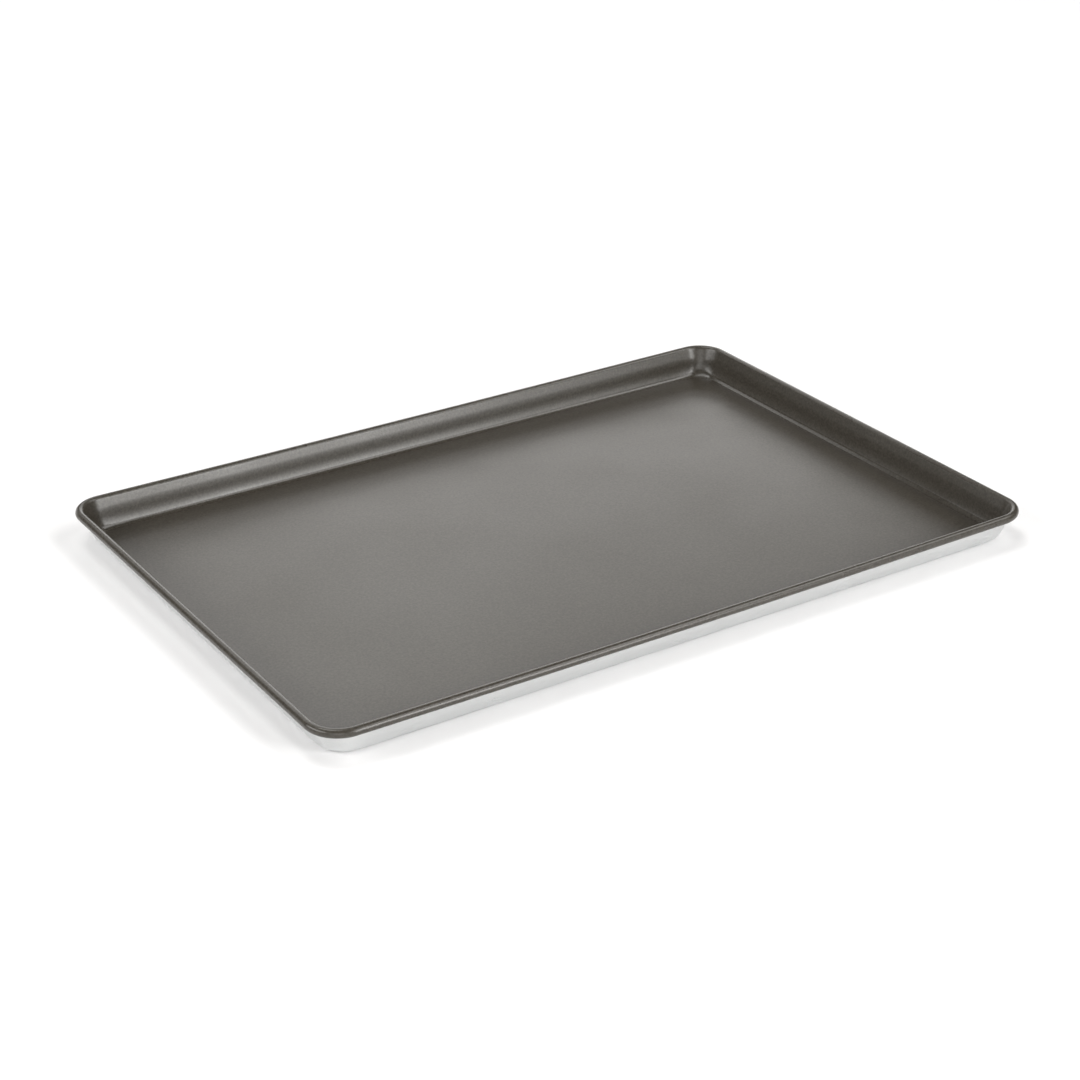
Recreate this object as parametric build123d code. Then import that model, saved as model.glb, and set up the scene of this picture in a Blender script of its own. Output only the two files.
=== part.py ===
from build123d import *
import math
import os

# Jelly roll pan: a shallow oblong tray stamped from one sheet. Its rim is rolled outwards over
# a wire, and the face of the sheet that ends up inside the pan and round the rim is coated.
# The origin is on the surface that the pan stands on, under its middle.
# +X runs along the long side and +Z is up.

# Outside size, over the rolled rim
pan_length = 400.0
pan_width = 270.5
pan_height = 17.0

# Stamped sheet. Radii and leans are those of its coated face, and a lean is measured from upright.
# From the floor up, a tight bend passes into a slowly rising curve, the wall is steepest at its
# waist, curves outwards again, and turns at a crease into the straight band that meets the roll.
sheet_thickness = 0.7
bend_radius = 3.6
bend_lean_deg = 24.4
lower_wall_radius = 16.2
waist_lean_deg = 5.3
upper_wall_radius = 21.6
crease_lean_deg = 14.0
crease_radius = 11.2
band_lean_deg = 22.1
floor_corner_radius = 6.1

# Wire in the rim, and the sheet rolled over it
wire_diameter = 2.3
wire_clearance = 0.1
wire_end_gap = 0.5
roll_sweep_deg = 290.0

# Non-stick coating on the upper face of the sheet
coating_thickness = 0.25

# The rim, from the inside out: wire, clearance, sheet, coating
roll_radius = wire_diameter / 2 + wire_clearance + sheet_thickness
rim_radius = roll_radius + coating_thickness
rim_height = pan_height - rim_radius

# The curves of the wall from the floor up: each one's radius and the lean that it ends at
floor_lean_deg = 90
wall_curves = [
    (bend_radius, bend_lean_deg),
    (lower_wall_radius, waist_lean_deg),
    (upper_wall_radius, crease_lean_deg),
    (crease_radius, band_lean_deg),
]


def into_pan(lean_deg):
    """The direction square to the sheet, into the pan, where the sheet has this lean."""
    lean = math.radians(lean_deg)
    return Vector(math.cos(lean), math.sin(lean))


def curve_centre(foot, radius, lean_deg, next_lean_deg):
    """Where a curve that starts at its foot turns about.

    A curve that grows steeper turns about a point inside the pan, and one that leans out further
    turns about a point outside it.
    """
    side = 1 if next_lean_deg < lean_deg else -1
    return foot + into_pan(lean_deg) * radius * side


def curve_head(foot, radius, lean_deg, next_lean_deg):
    """The upper end of a curve of the wall."""
    side = 1 if next_lean_deg < lean_deg else -1
    return curve_centre(foot, radius, lean_deg, next_lean_deg) - into_pan(next_lean_deg) * radius * side


# The band is as long as the height leaves for it, and tangent to the roll. That sets how far the
# floor lies inside the rim, and so the plan radius of the rim's corners.
crease_head = Vector(0, sheet_thickness)
lean_deg = floor_lean_deg
for radius, next_lean_deg in wall_curves:
    crease_head = curve_head(crease_head, radius, lean_deg, next_lean_deg)
    lean_deg = next_lean_deg
roll_reach = into_pan(band_lean_deg) * roll_radius
band_length = (rim_height + roll_reach.Y - crease_head.Y) / math.cos(math.radians(band_lean_deg))
floor_inset = rim_radius + roll_reach.X + band_length * math.sin(math.radians(band_lean_deg)) - crease_head.X
rim_corner_radius = floor_inset + floor_corner_radius

floor_length = pan_length - 2 * floor_inset
floor_width = pan_width - 2 * floor_inset


def face_line(offset):
    """One face of the bent sheet, in section, from the floor to the free edge of the roll.

    The section's x runs inwards from the outer edge of the rim, and its y runs up. The offset is
    measured from the coated face of the metal, towards the inside of the pan.
    """
    edges = []
    foot = Vector(floor_inset, sheet_thickness)
    lean_deg = floor_lean_deg
    for radius, next_lean_deg in wall_curves:
        centre = curve_centre(foot, radius, lean_deg, next_lean_deg)
        turn = next_lean_deg - lean_deg
        if turn < 0:
            edges.append(CenterArc(centre, radius - offset, lean_deg + 180, turn))
        else:
            edges.append(CenterArc(centre, radius + offset, lean_deg, turn))
        foot = curve_head(foot, radius, lean_deg, next_lean_deg)
        lean_deg = next_lean_deg
    roll = CenterArc((rim_radius, rim_height), roll_radius + offset, band_lean_deg, roll_sweep_deg)
    return edges + [Line(edges[-1] @ 1, roll @ 0), roll]


def layer_section(low, high):
    """The section of a layer of the wall between two offsets from the coated face."""
    lower = face_line(low)
    upper = face_line(high)
    foot = Line(lower[0] @ 0, upper[0] @ 0)
    free_edge = Line(lower[-1] @ 1, upper[-1] @ 1)
    return make_face([foot, free_edge] + lower + upper)


def around_rim(section):
    """Carries a section round the pan: four straight sides, each with the corner at its end."""
    runs = []
    for side in range(4):
        turn = math.radians(90 * side)
        along = Vector(math.cos(turn), math.sin(turn), 0)
        inward = Vector(-math.sin(turn), math.cos(turn), 0)
        half_run, half_across = pan_length / 2, pan_width / 2
        if side % 2:
            half_run, half_across = half_across, half_run
        straight = half_run - rim_corner_radius
        start = Plane(-inward * half_across - along * straight, x_dir=inward, z_dir=along)
        end = Plane(-inward * half_across + along * straight, x_dir=inward, z_dir=along)
        corner_axis = Axis(end.origin + inward * rim_corner_radius, (0, 0, 1))
        runs.append(extrude(start * section, amount=2 * straight))
        runs.append(revolve(end * section, corner_axis, revolution_arc=90))
    return runs


def sheet_layer(low, high):
    """A layer of the whole stamping: its flat floor, walls, corners and rolled rim as one solid."""
    plan = RectangleRounded(floor_length, floor_width, floor_corner_radius)
    floor = Pos(0, 0, sheet_thickness + low) * extrude(plan, amount=high - low)
    return Part() + [floor] + around_rim(layer_section(low, high))


def pan_shell():
    """The bare metal, from its outer face to the face that carries the coating."""
    return sheet_layer(-sheet_thickness, 0)


def nonstick_coating():
    """The coating, over the floor, up the walls and round the rim to the sheet's free edge."""
    return sheet_layer(0, coating_thickness)


def rim_wire():
    """The wire that stiffens the rim, bent to the rim's outline, with its ends butted at the back."""
    section = Pos(rim_radius, rim_height) * Circle(wire_diameter / 2)
    ring = Part() + around_rim(section)
    butt = Pos(0, pan_width / 2 - rim_radius, rim_height) * Box(wire_end_gap, rim_radius, rim_radius * 2)
    return ring - butt


nodes = {
    "pan_shell": pan_shell(),
    "nonstick_coating": nonstick_coating(),
    "rim_wire": rim_wire(),
}

os.makedirs("parts", exist_ok=True)
for name, shape in nodes.items():
    shape.label = name
    export_step(shape, f"parts/{name}.step")
    print(name, "solids", len(shape.solids()), "volume", round(shape.volume, 1))

print("floor", round(floor_length, 1), "x", round(floor_width, 1), "rim corner radius", round(rim_corner_radius, 2))
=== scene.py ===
# %% [markdown]
# # A jelly roll pan
#
# A jelly roll pan is a shallow oblong tray for baking a thin sheet of cake. It is stamped from one
# sheet of aluminium. The rim is rolled over a steel wire, which makes it round and stiff. The sheet
# is coated on one side before it is stamped, so the dark release coating covers the inside and the
# rolled rim, and the outside stays bare metal.
#
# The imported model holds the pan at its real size. This script loads it as a fixed frame, and models
# the sheet, the coating and the wire again around it as fine meshes with their real finishes.

# %% Load the frame
import math

import bmesh
import bpy
import numpy as np
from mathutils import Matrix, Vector


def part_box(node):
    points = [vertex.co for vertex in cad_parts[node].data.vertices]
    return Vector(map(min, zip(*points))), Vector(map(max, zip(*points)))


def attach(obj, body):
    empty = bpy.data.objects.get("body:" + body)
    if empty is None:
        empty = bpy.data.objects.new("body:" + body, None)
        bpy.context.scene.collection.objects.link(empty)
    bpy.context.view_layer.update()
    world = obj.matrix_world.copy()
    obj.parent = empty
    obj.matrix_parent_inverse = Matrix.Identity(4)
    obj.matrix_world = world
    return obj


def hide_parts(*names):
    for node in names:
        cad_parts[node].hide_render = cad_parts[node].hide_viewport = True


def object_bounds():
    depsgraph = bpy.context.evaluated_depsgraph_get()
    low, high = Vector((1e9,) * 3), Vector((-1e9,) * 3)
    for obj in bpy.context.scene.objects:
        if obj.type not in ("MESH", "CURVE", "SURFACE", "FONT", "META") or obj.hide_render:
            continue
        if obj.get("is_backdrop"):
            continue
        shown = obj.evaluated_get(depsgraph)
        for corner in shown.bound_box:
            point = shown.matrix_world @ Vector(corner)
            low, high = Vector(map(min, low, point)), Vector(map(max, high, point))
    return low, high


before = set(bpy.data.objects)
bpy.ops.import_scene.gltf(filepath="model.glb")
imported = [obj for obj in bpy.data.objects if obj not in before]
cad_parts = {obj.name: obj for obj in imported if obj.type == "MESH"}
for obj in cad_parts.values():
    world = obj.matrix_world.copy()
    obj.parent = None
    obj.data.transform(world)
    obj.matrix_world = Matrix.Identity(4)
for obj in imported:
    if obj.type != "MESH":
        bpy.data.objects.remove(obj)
cad_low, cad_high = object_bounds()
MM = 0.001
print("pan in mm:", [round(side / MM, 1) for side in cad_high - cad_low])

# %% [markdown]
# ## Sizes
#
# Every size that the frame can tell is read from it: the outside of the pan from its box, the
# thickness of the sheet from the height at which the coating begins, the wire from its own box.
# What a box can't tell is written here as the maker's own sizes.

# %% Read the sizes from the frame
coating_low, coating_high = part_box("nonstick_coating")
shell_low, shell_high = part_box("pan_shell")
wire_low, wire_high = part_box("rim_wire")

half_length = coating_high.x
half_width = coating_high.y
pan_height = coating_high.z
sheet_thickness = coating_low.z
coating_thickness = coating_high.z - shell_high.z
wire_radius = (wire_high.z - wire_low.z) / 2
rim_height = (wire_high.z + wire_low.z) / 2
rim_radius = pan_height - rim_height
roll_radius = rim_radius - coating_thickness

roll_sweep = math.radians(290)
floor_corner_radius = 6.1 * MM
wire_end_gap = 0.5 * MM
print("height mm:", round(pan_height / MM, 2), "roll radius mm:", round(roll_radius / MM, 2))

# %% [markdown]
# ## The section of the bent sheet
#
# Cut across its edge, the pan is a single bent line. On the long and short sides the floor turns up
# through a tight bend, the wall steepens to a waist, curves outwards again to a soft crease, runs
# straight in a band, and rolls outwards over the wire. In the corners the metal had to draw in, so
# the waist fades out there: the bend is wide and the wall leans evenly. Every stretch meets the next
# without a kink, so each is an arc that starts with the lean the last one ended with. A lean is
# measured from upright. A curve object with a bevel could draw this, but points worked out from the
# arcs are exact, and each point's direction into the pan comes with them. The coating then follows
# the same line a little further in.

# %% Points of one face of the sheet
SIDE_CURVES = (
    {"radius": 3.4 * MM, "lean": math.radians(26.0), "steps": 14},
    {"radius": 15.5 * MM, "lean": math.radians(5.7), "steps": 10},
    {"radius": 20.8 * MM, "lean": math.radians(14.6), "steps": 7},
    {"radius": 11.4 * MM, "lean": math.radians(22.6), "steps": 5},
)
CORNER_CURVES = (
    {"radius": 7.0 * MM, "lean": math.radians(22.0), "steps": 14},
    {"radius": 26.0 * MM, "lean": math.radians(14.5), "steps": 10},
    {"radius": 28.0 * MM, "lean": math.radians(18.0), "steps": 7},
    {"radius": 16.0 * MM, "lean": math.radians(21.5), "steps": 5},
)
BAND_STEPS = 3
ROLL_STEPS = 40


def into_pan(leans):
    """Directions square to the sheet, into the pan, as rows of distance inwards and height."""
    return np.stack([np.cos(leans), np.sin(leans)], axis=-1)


def bent_line(curves):
    """Points of the metal's coated face from the floor to the free edge, and their directions."""
    points, leans = [np.array([0.0, sheet_thickness])], [math.pi / 2]
    for curve in curves:
        swing = np.linspace(leans[-1], curve["lean"], curve["steps"] + 1)
        side = 1 if swing[-1] < swing[0] else -1
        centre = points[-1] + side * curve["radius"] * into_pan(swing[0])
        points += list(centre - side * curve["radius"] * into_pan(swing[1:]))
        leans += list(swing[1:])
    reach = roll_radius * into_pan(leans[-1])
    band_length = (rim_height + reach[1] - points[-1][1]) / math.cos(leans[-1])
    band = band_length * np.array([-math.sin(leans[-1]), math.cos(leans[-1])])
    points += [points[-1] + band * share for share in np.linspace(0, 1, BAND_STEPS + 1)[1:]]
    leans += [leans[-1]] * BAND_STEPS
    roll = np.linspace(leans[-1], leans[-1] + roll_sweep, ROLL_STEPS + 1)[1:]
    roll_centre = points[-1] - reach
    points += list(roll_centre + roll_radius * into_pan(roll))
    leans += list(roll)
    return np.array(points) + (rim_radius - roll_centre[0], 0), into_pan(np.array(leans))


side_face, corner_face = bent_line(SIDE_CURVES), bent_line(CORNER_CURVES)
face_points, face_directions = (np.stack(pair) for pair in zip(side_face, corner_face))
floor_inset, corner_floor_inset = face_points[:, 0, 0]
rim_corner_radius = floor_inset + floor_corner_radius


def face_lines(offset):
    """The coated face of the metal on the sides and in the corners, moved by an offset into the pan."""
    return face_points + offset * face_directions


print("points across one face:", face_points.shape[1])
print("floor inset mm on the sides:", round(floor_inset / MM, 2))
print("floor inset mm in the corners:", round(corner_floor_inset / MM, 2))
print("rim corner radius mm:", round(rim_corner_radius / MM, 2))

# %% [markdown]
# ### Where the tools have rubbed the coating
#
# The punch presses hardest in the tight bend, and the rolling tool slides along the rim, and both
# leave the coating glossier there. A second material would show a hard edge between the two, so
# each point of a face carries a number from 0 to 1 that says how far it was polished, and the
# coating's material reads it later. In the corners the bend is wide, so the polish fades out there.

# %% Polish along one face
ROLL_POLISH = 0.35

bend_end = SIDE_CURVES[0]["steps"]
roll_start = face_points.shape[1] - ROLL_STEPS
polish = np.zeros(face_points.shape[1])
polish[: bend_end + 1] = 1 - np.abs(np.linspace(-1, 1, bend_end + 1)) ** 3
polish[roll_start:] = ROLL_POLISH
print("polished points across one face:", int((polish > 0).sum()))

# %% [markdown]
# ## Carrying the section round the rim
#
# Seen from above, the rim is a rectangle with round corners. At each station on it the section is
# set up square to the rim. A station needs only its pivot, the point where the corner radius
# ends, and its direction out of the pan: on a side the pivots move along with the stations, and on
# a corner they all share one point. Going into a corner the section turns gradually from that of the
# sides into that of the corners, which is reached half way round, as drawn metal does.

# %% Stations round the rim
LONG_STEPS = 96
SHORT_STEPS = 66
CORNER_STEPS = 24
CORNER_REACH = 24 * MM

straight_x = half_length - rim_corner_radius
straight_y = half_width - rim_corner_radius
grid_x = np.linspace(-straight_x, straight_x, LONG_STEPS + 1)
grid_y = np.linspace(-straight_y, straight_y, SHORT_STEPS + 1)


def share_of_corner(distance):
    """How far the section is that of the corners, this far along the rim from a corner's middle."""
    nearness = max(0.0, 1 - distance / CORNER_REACH)
    return nearness**2 * (3 - 2 * nearness)


def rim_stations():
    """Pivots, outward directions and corner shares, anticlockwise from the front left."""
    pivots, outward, corner_share = [], [], []
    half_corner = rim_corner_radius * math.pi / 4
    for side in range(4):
        turn = math.pi / 2 * side
        out = np.array([math.sin(turn), -math.cos(turn)])
        ahead = np.array([math.cos(turn), math.sin(turn)])
        along, reach = (grid_x, straight_y) if side % 2 == 0 else (grid_y, straight_x)
        for place in along:
            pivots.append(ahead * place + out * reach)
            outward.append(out)
            corner_share.append(share_of_corner(half_corner + along[-1] - abs(place)))
        for step in range(1, CORNER_STEPS):
            swing = math.pi / 2 * step / CORNER_STEPS
            pivots.append(pivots[-1])
            outward.append(out * math.cos(swing) + ahead * math.sin(swing))
            corner_share.append(share_of_corner(abs(swing - math.pi / 4) * rim_corner_radius))
    return np.array(pivots), np.array(outward), np.array(corner_share)


pivots, outward, corner_share = rim_stations()
print("stations:", len(pivots))

# %% [markdown]
# ## Building a layer of the pan
#
# A layer is a closed shell: its lower face and its upper face, joined along the free edge of the
# rolled rim. Both faces run on past the bend to the pivots, and a plain grid closes the floor
# between them. Points that meet are merged, so the shell has no seam. A thickness modifier could
# make the sheet from one face, but it would not keep the coating and the metal face to face.
#
# A stamped rim is never quite straight. On this pan the long sides hang a little lower half way
# along than at the corners, the front more than the back, so the points sink with their height
# above the floor, most in the middle. The corners stay where the frame has them.

# %% Build one layer
FRONT_SAG = 0.89 * MM
BACK_SAG = 0.44 * MM


def swept(side_section, corner_section):
    """The section's points at every station, as an array of stations by points by x, y, z."""
    section = side_section + corner_share[:, None, None] * (corner_section - side_section)
    reach = rim_corner_radius - section[:, :, 0]
    plan = pivots[:, None, :] + outward[:, None, :] * reach[:, :, None]
    return np.concatenate([plan, section[:, :, 1:]], axis=2)


def floor_grid(height):
    """The flat floor inside the pivots."""
    x, y = np.meshgrid(grid_x, grid_y, indexing="ij")
    return np.stack([x, y, np.full_like(x, height)], axis=2)


def sag(points):
    """Lets the long sides of the rim hang, without moving the floor or the short sides."""
    back_share = (points[:, 1] + half_width) / (2 * half_width)
    deepest = FRONT_SAG + back_share * (BACK_SAG - FRONT_SAG)
    share = (1 - (points[:, 0] / half_length) ** 2) * (points[:, 2] / rim_height)
    return points - np.outer(deepest * share, (0, 0, 1))


def quads(rows, columns, first, closed):
    """Corner numbers of the quads in a grid of points, row after row."""
    found = []
    for row in range(rows if closed else rows - 1):
        here, there = first + row * columns, first + (row + 1) % rows * columns
        found += [(here + i, here + i + 1, there + i + 1, there + i) for i in range(columns - 1)]
    return found


def mesh_object(name, points, faces, polish_values=None):
    """A smooth mesh from points and faces, with its doubles merged and its normals facing out."""
    mesh = bpy.data.meshes.new(name)
    mesh.from_pydata(points.tolist(), [], faces)
    if polish_values is not None:
        mesh.attributes.new("polish", "FLOAT", "POINT").data.foreach_set("value", polish_values)
    shape = bmesh.new()
    shape.from_mesh(mesh)
    bmesh.ops.remove_doubles(shape, verts=shape.verts, dist=0.001 * MM)
    bmesh.ops.recalc_face_normals(shape, faces=shape.faces)
    open_edges = sum(not edge.is_manifold for edge in shape.edges)
    shape.to_mesh(mesh)
    shape.free()
    mesh.shade_smooth()
    mesh.set_sharp_from_angle(angle=math.radians(35))
    piece = bpy.data.objects.new(name, mesh)
    bpy.context.scene.collection.objects.link(piece)
    print(name, "faces:", len(mesh.polygons), "open edges:", open_edges)
    return piece


def sheet_layer(name, low, high):
    """A layer of the sheet between two offsets from the coated face."""
    pivot_low = (rim_corner_radius, sheet_thickness + low)
    pivot_high = (rim_corner_radius, sheet_thickness + high)
    lines = zip(face_lines(low), face_lines(high))
    ring = swept(*(np.vstack([pivot_low, lower, upper[::-1], pivot_high]) for lower, upper in lines))
    grids = [floor_grid(pivot_low[1]), floor_grid(pivot_high[1])]
    faces = quads(ring.shape[0], ring.shape[1], 0, closed=True)
    points = [ring.reshape(-1, 3)]
    across = np.concatenate([[0], polish, polish[::-1], [0]])
    polish_values = np.outer(1 - corner_share, across).ravel()
    for grid in grids:
        faces += quads(grid.shape[0], grid.shape[1], sum(map(len, points)), closed=False)
        points.append(grid.reshape(-1, 3))
    points = np.concatenate(points)
    polish_values = np.concatenate([polish_values, np.zeros(len(points) - len(polish_values))])
    return mesh_object(name, sag(points), faces, polish_values)


# %% Stamp the sheet and lay the coating
stamped_sheet = sheet_layer("stamped_sheet", -sheet_thickness, 0)
release_coating = sheet_layer("release_coating", 0, coating_thickness)

# %% [markdown]
# ## The wire in the rim
#
# The wire shows only through the slot under the roll, but the rim hangs a little, and a wire that
# stayed straight would cut through it. So the wire is modelled again with the same stations and
# the same sag. It starts and ends at the back, where its two ends butt together.

# %% Bend the wire
WIRE_SIDES = 20


def bent_wire():
    """A round section carried from one side of the butt joint, round the rim, to the other."""
    round_angles = np.linspace(0, 2 * math.pi, WIRE_SIDES + 1)
    section = (rim_radius, rim_height) + wire_radius * into_pan(round_angles)
    ring = swept(section, section)
    back = [i for i, out in enumerate(outward) if out[1] > 1 - 1e-9 and abs(pivots[i][0]) < 1e-9]
    ring = np.roll(ring, -back[0], axis=0)
    ring = np.concatenate([ring, ring[:1]])
    ring[0, :, 0] -= wire_end_gap / 2
    ring[-1, :, 0] += wire_end_gap / 2
    rows, columns = ring.shape[:2]
    faces = quads(rows, columns, 0, closed=False)
    first_end = tuple(range(columns - 1))
    last_end = tuple((rows - 1) * columns + i for i in range(columns - 1))
    return mesh_object("bent_wire", sag(ring.reshape(-1, 3)), faces + [first_end, last_end])


wire = bent_wire()

# %% [markdown]
# ## Materials
#
# Three finishes make the pan: the baked coating, the bare rolled sheet, and the drawn wire. Two
# helpers serve all of them: one turns a hex colour into the linear values that the shader works
# with, the other adds a node with its settings and links.

# %% Material helpers


def linear(hex_colour):
    """An sRGB hex colour as linear red, green, blue and an alpha of one."""
    values = [int(hex_colour[i : i + 2], 16) / 255 for i in (1, 3, 5)]
    return [v / 12.92 if v <= 0.04045 else ((v + 0.055) / 1.055) ** 2.4 for v in values] + [1.0]


def add_node(tree, kind, links=None, values=None, **settings):
    """Adds a node, sets its properties and input values, and links its inputs from other sockets."""
    made = tree.nodes.new(kind)
    for name, value in settings.items():
        setattr(made, name, value)
    for name, value in (values or {}).items():
        made.inputs[name].default_value = value
    for name, socket in (links or {}).items():
        tree.links.new(socket, made.inputs[name])
    return made


def new_material(name, values):
    """A material with a principled shader, and that shader."""
    material = bpy.data.materials.new(name)
    material.use_nodes = True
    shader = material.node_tree.nodes["Principled BSDF"]
    for socket, value in values.items():
        shader.inputs[socket].default_value = value
    return material, shader


# %% [markdown]
# ### Baked release coating
#
# The dark layer is a fluoropolymer coating with a little mica in it, rolled onto the flat sheet and
# baked. It is a warm dark grey, satin rather than matt, so it mirrors the room at a low angle and
# turns nearly black where it mirrors its own walls. The roller leaves it faintly pebbled, and the
# mica gives it a fine lighter speckle. Both are really a few tenths of a millimetre from grain to
# grain, which is less than a pixel of the render, so they are drawn coarser. The tight bend and the
# roll are glossier, by the polish that each point carries.

# %% Baked release coating
PEBBLE = 1.2 * MM
SPECKLE = 1.2 * MM
CLOUD = 60 * MM
COATING_ROUGHNESS = 0.32
POLISHED_ROUGHNESS = 0.16


def baked_coating():
    material, shader = new_material(
        "baked_release_coating", {"Roughness": COATING_ROUGHNESS, "IOR": 1.5, "Metallic": 0.0}
    )
    tree = material.node_tree
    place = add_node(tree, "ShaderNodeTexCoord").outputs["Object"]
    speckle = add_node(
        tree,
        "ShaderNodeTexNoise",
        {"Vector": place},
        {"Scale": 1 / SPECKLE, "Detail": 3.0, "Roughness": 0.7},
    )
    cloud = add_node(tree, "ShaderNodeTexNoise", {"Vector": place}, {"Scale": 1 / CLOUD, "Detail": 3.0})
    tone = add_node(tree, "ShaderNodeValToRGB", {"Fac": speckle.outputs["Fac"]})
    tone.color_ramp.elements[0].position = 0.35
    tone.color_ramp.elements[0].color = linear("#302c26")
    tone.color_ramp.elements[1].position = 0.75
    tone.color_ramp.elements[1].color = linear("#49453e")
    tree.links.new(tone.outputs["Color"], shader.inputs["Base Color"])
    polished = add_node(tree, "ShaderNodeAttribute", attribute_name="polish").outputs["Fac"]
    worn = add_node(
        tree,
        "ShaderNodeMapRange",
        {"Value": polished},
        {"To Min": COATING_ROUGHNESS, "To Max": POLISHED_ROUGHNESS},
    )
    uneven = add_node(
        tree,
        "ShaderNodeMapRange",
        {"Value": cloud.outputs["Fac"]},
        {"From Min": 0.3, "From Max": 0.7, "To Min": -0.03, "To Max": 0.03},
    )
    parts = {0: worn.outputs["Result"], 1: uneven.outputs["Result"]}
    gloss = add_node(tree, "ShaderNodeMath", parts, operation="ADD")
    tree.links.new(gloss.outputs["Value"], shader.inputs["Roughness"])
    pebble = add_node(tree, "ShaderNodeTexNoise", {"Vector": place}, {"Scale": 1 / PEBBLE, "Detail": 1.0})
    bump = add_node(
        tree, "ShaderNodeBump", {"Height": pebble.outputs["Fac"]}, {"Strength": 0.22, "Distance": 0.05 * MM}
    )
    tree.links.new(bump.outputs["Normal"], shader.inputs["Normal"])
    return material


coating_material = baked_coating()
print("material:", coating_material.name)

# %% [markdown]
# ### Bare rolled sheet
#
# The outside is aluminium sheet as it leaves the rolling mill, bright and satin. The rollers leave
# fine lines along the sheet, and stamping draws them along the walls. The lines are really about a
# tenth of a millimetre apart, which the render can't show, so they are drawn coarser.

# %% Bare rolled sheet
ROLLING_LINE = 0.4 * MM


def rolled_sheet():
    material, shader = new_material(
        "bare_rolled_aluminium", {"Metallic": 1.0, "Roughness": 0.32, "Base Color": linear("#dddede")}
    )
    tree = material.node_tree
    place = add_node(tree, "ShaderNodeTexCoord").outputs["Object"]
    stretch = add_node(tree, "ShaderNodeMapping", {"Vector": place}, {"Scale": (0.02, 1.0, 1.0)})
    lines = add_node(
        tree,
        "ShaderNodeTexNoise",
        {"Vector": stretch.outputs["Vector"]},
        {"Scale": 1 / ROLLING_LINE, "Detail": 3.0},
    )
    gloss = add_node(
        tree,
        "ShaderNodeMapRange",
        {"Value": lines.outputs["Fac"]},
        {"From Min": 0.3, "From Max": 0.7, "To Min": 0.26, "To Max": 0.4},
    )
    tree.links.new(gloss.outputs["Result"], shader.inputs["Roughness"])
    bump = add_node(
        tree, "ShaderNodeBump", {"Height": lines.outputs["Fac"]}, {"Strength": 0.15, "Distance": 0.02 * MM}
    )
    tree.links.new(bump.outputs["Normal"], shader.inputs["Normal"])
    return material


sheet_material = rolled_sheet()
print("material:", sheet_material.name)

# %% [markdown]
# ### Drawn galvanised wire
#
# The rim wire is mild steel, drawn through a die and dipped in zinc: duller and bluer than the
# sheet, its gloss uneven in small patches.

# %% Drawn galvanised wire


def drawn_wire():
    material, shader = new_material(
        "drawn_galvanised_wire", {"Metallic": 1.0, "Roughness": 0.45, "Base Color": linear("#a9acae")}
    )
    tree = material.node_tree
    place = add_node(tree, "ShaderNodeTexCoord").outputs["Object"]
    spangle = add_node(tree, "ShaderNodeTexVoronoi", {"Vector": place}, {"Scale": 1 / (2 * MM)})
    gloss = add_node(
        tree,
        "ShaderNodeMapRange",
        {"Value": spangle.outputs["Color"]},
        {"To Min": 0.38, "To Max": 0.55},
    )
    tree.links.new(gloss.outputs["Result"], shader.inputs["Roughness"])
    return material


wire_material = drawn_wire()
print("material:", wire_material.name)

# %% [markdown]
# ## Dressing the pieces
#
# Each piece gets its finish, rides on the pan's only body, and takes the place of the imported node
# that stands for the same layer.

# %% Dress the pieces and set them on the frame
for piece, material, node, slot in (
    (stamped_sheet, sheet_material, "pan_shell", "bare_sheet"),
    (release_coating, coating_material, "nonstick_coating", "coating"),
    (wire, wire_material, "rim_wire", "wire"),
):
    piece.data.materials.append(material)
    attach(piece, "root")
    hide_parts(node)
    print(piece.name, "stands for", node)

# %% [markdown]
# ## The studio
#
# The pan stands on a plain white floor, which ends inside the ring of panels that light it. The pan's
# shadow is darkest where the wall meets it. The room beyond gives hardly any light, but looks as
# white as the floor where a low camera sees past its edge.

# %% White floor
FLOOR_SIZE = 4.8

floor_mesh = bpy.data.meshes.new("studio_floor")
edge = FLOOR_SIZE / 2
floor_corners = [(-edge, -edge, 0), (edge, -edge, 0), (edge, edge, 0), (-edge, edge, 0)]
floor_mesh.from_pydata(floor_corners, [], [(0, 1, 2, 3)])
studio_floor = bpy.data.objects.new("studio_floor", floor_mesh)
bpy.context.scene.collection.objects.link(studio_floor)
studio_floor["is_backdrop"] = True
floor_finish = {"Base Color": linear("#f4f4f5"), "Roughness": 0.9}
floor_material, floor_shader = new_material("studio_floor", floor_finish)
studio_floor.data.materials.append(floor_material)
print("floor side in m:", FLOOR_SIZE)

# %% Room beyond the floor
ROOM_LIGHT = 0.08
world = bpy.data.worlds.new("studio_dim")
bpy.context.scene.world = world
world.use_nodes = True
room = world.node_tree.nodes["Background"]
room.inputs["Color"].default_value = linear("#ffffff")
seen = add_node(world.node_tree, "ShaderNodeLightPath").outputs["Is Camera Ray"]
room_strength = add_node(
    world.node_tree, "ShaderNodeMapRange", {"Value": seen}, {"To Min": ROOM_LIGHT, "To Max": 1.0}
)
world.node_tree.links.new(room_strength.outputs["Result"], room.inputs["Strength"])
print("room:", world.name)

# %% [markdown]
# ## Soft light
#
# A satin dark pan shows its studio more than its own colour: each wall mirrors a different part of
# the room. So the light is a ring of large soft panels. Each one is written as its direction from
# the pan, its size, and how bright its face is, where a face of brightness 1 looks white. The power
# of a panel follows from its brightness and area.
#
# The key is a tall softbox in front on the right, brightest across its middle, so it is made of four
# strips. It draws the light line on the front rim and along the bend of the back wall. A wide window
# at the left lights the left ends of the walls, a card by the camera lights the far corner, a panel
# behind makes the glow on the pan's floor, and the rest fills from above.

# %% Panels round the pan
PANEL_DISTANCE = 3.0
LAMP_COLOUR = "#fffefc"


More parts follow.
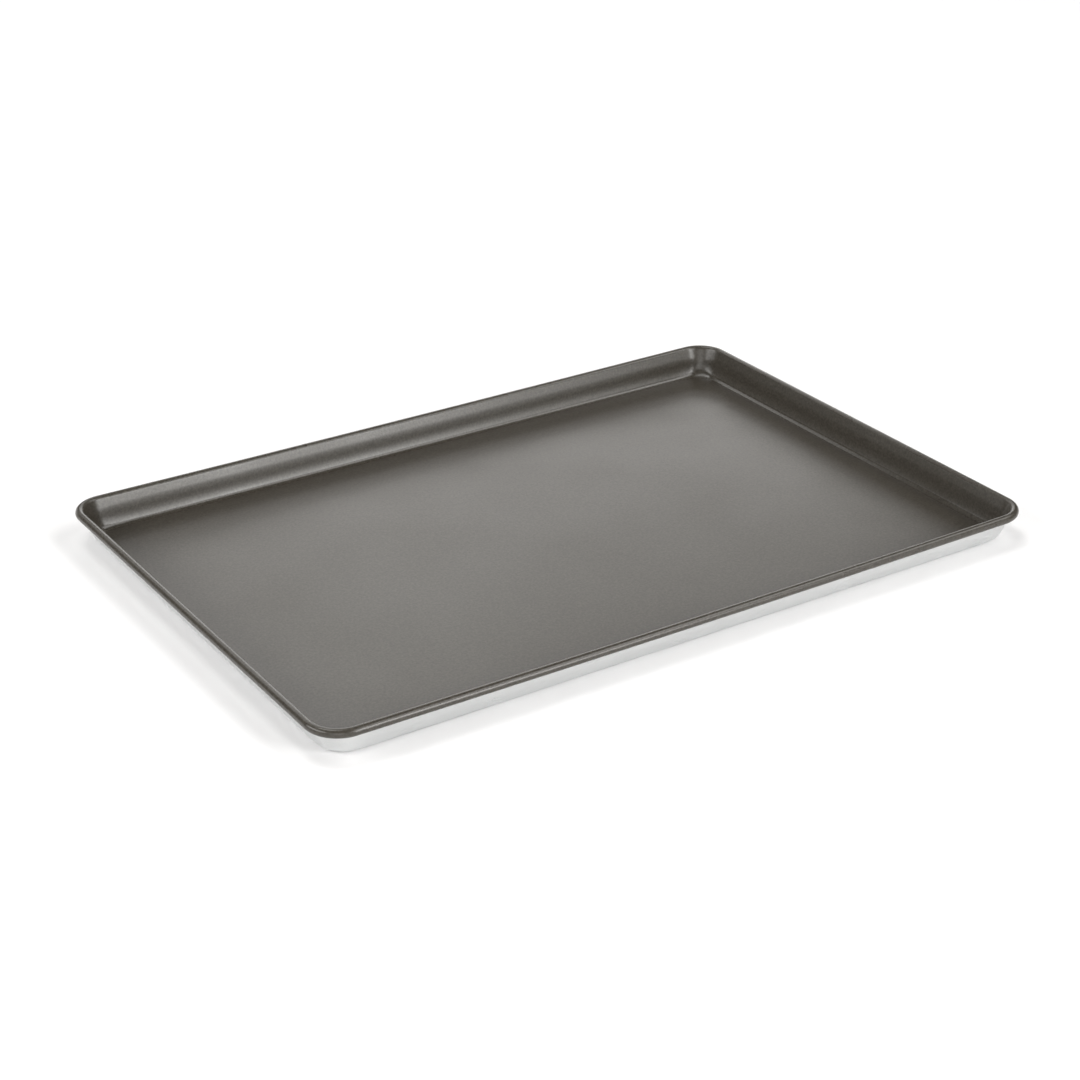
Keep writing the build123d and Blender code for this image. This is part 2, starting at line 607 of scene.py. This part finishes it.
def soft_panel(name, azimuth, elevation, size, brightness):
    """A rectangular area light facing the pan; azimuth runs anticlockwise from +X, in degrees."""
    across, up = math.radians(azimuth), math.radians(elevation)
    towards = Vector((math.cos(across) * math.cos(up), math.sin(across) * math.cos(up), math.sin(up)))
    data = bpy.data.lights.new(name, "AREA")
    data.shape = "RECTANGLE"
    data.size, data.size_y = size
    data.energy = math.pi * size[0] * size[1] * brightness
    data.color = linear(LAMP_COLOUR)[:3]
    panel = bpy.data.objects.new(name, data)
    panel.location = towards * PANEL_DISTANCE
    panel.rotation_euler = (-towards).to_track_quat("-Z", "Y").to_euler()
    bpy.context.scene.collection.objects.link(panel)
    return panel


soft_panel("key_foot", 292, 5.5, (1.25, 0.47), 4.9)
soft_panel("key_lower_half", 292, 15.0, (1.22, 0.52), 5.7)
soft_panel("key_middle", 292, 25.0, (1.14, 0.52), 17.5)
soft_panel("key_top", 292, 36.0, (1.03, 0.63), 3.5)
soft_panel("left_window", 172, 28.0, (3.0, 1.05), 6.4)
soft_panel("card_by_camera", 235, 16.0, (1.9, 1.3), 2.9)
soft_panel("back_panel", 57, 16.5, (1.55, 1.65), 1.4)
soft_panel("back_panel_middle", 57, 17.0, (1.55, 0.53), 1.7)
soft_panel("back_low", 100, 7.5, (1.25, 0.7), 1.4)
soft_panel("back_high", 86, 39.0, (2.6, 0.75), 1.9)
soft_panel("right_high", 330, 50.0, (2.2, 1.05), 4.3)
soft_panel("overhead", 110, 73.0, (1.2, 1.4), 5.5)

# %% [markdown]
# ## The camera
#
# The camera stands in front and to the left, a little over a metre away, and looks down at the
# pan. A long lens keeps the far corner nearly as large as the near one.

# %% Camera
CAMERA_PLACE = Vector((-575.4, -873.8, 521.2)) * MM
CAMERA_AIM = Vector((-5.5, -1.6, 0.0)) * MM
CAMERA_LENS = 77.73

camera_data = bpy.data.cameras.new("camera")
camera_data.lens = CAMERA_LENS
camera_data.sensor_width = 36.0
camera = bpy.data.objects.new("camera", camera_data)
camera.location = CAMERA_PLACE
camera.rotation_euler = (CAMERA_AIM - CAMERA_PLACE).to_track_quat("-Z", "Y").to_euler()
bpy.context.scene.collection.objects.link(camera)
bpy.context.scene.camera = camera
bpy.context.scene.view_settings.view_transform = "Standard"

# %% [markdown]
# ## Checking the size
# The dressed pan's box and the imported pan's box are both printed.
# The dressed pan may not be larger than the imported one, so both boxes are written down and printed.

# %% Print the model's box and the frame's
low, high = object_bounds()
boxes = {"cad": [list(cad_low), list(cad_high)], "visual": [list(low), list(high)]}
for name, box in boxes.items():
    print(name, "box in mm:", [[round(v / MM, 2) for v in corner] for corner in box])
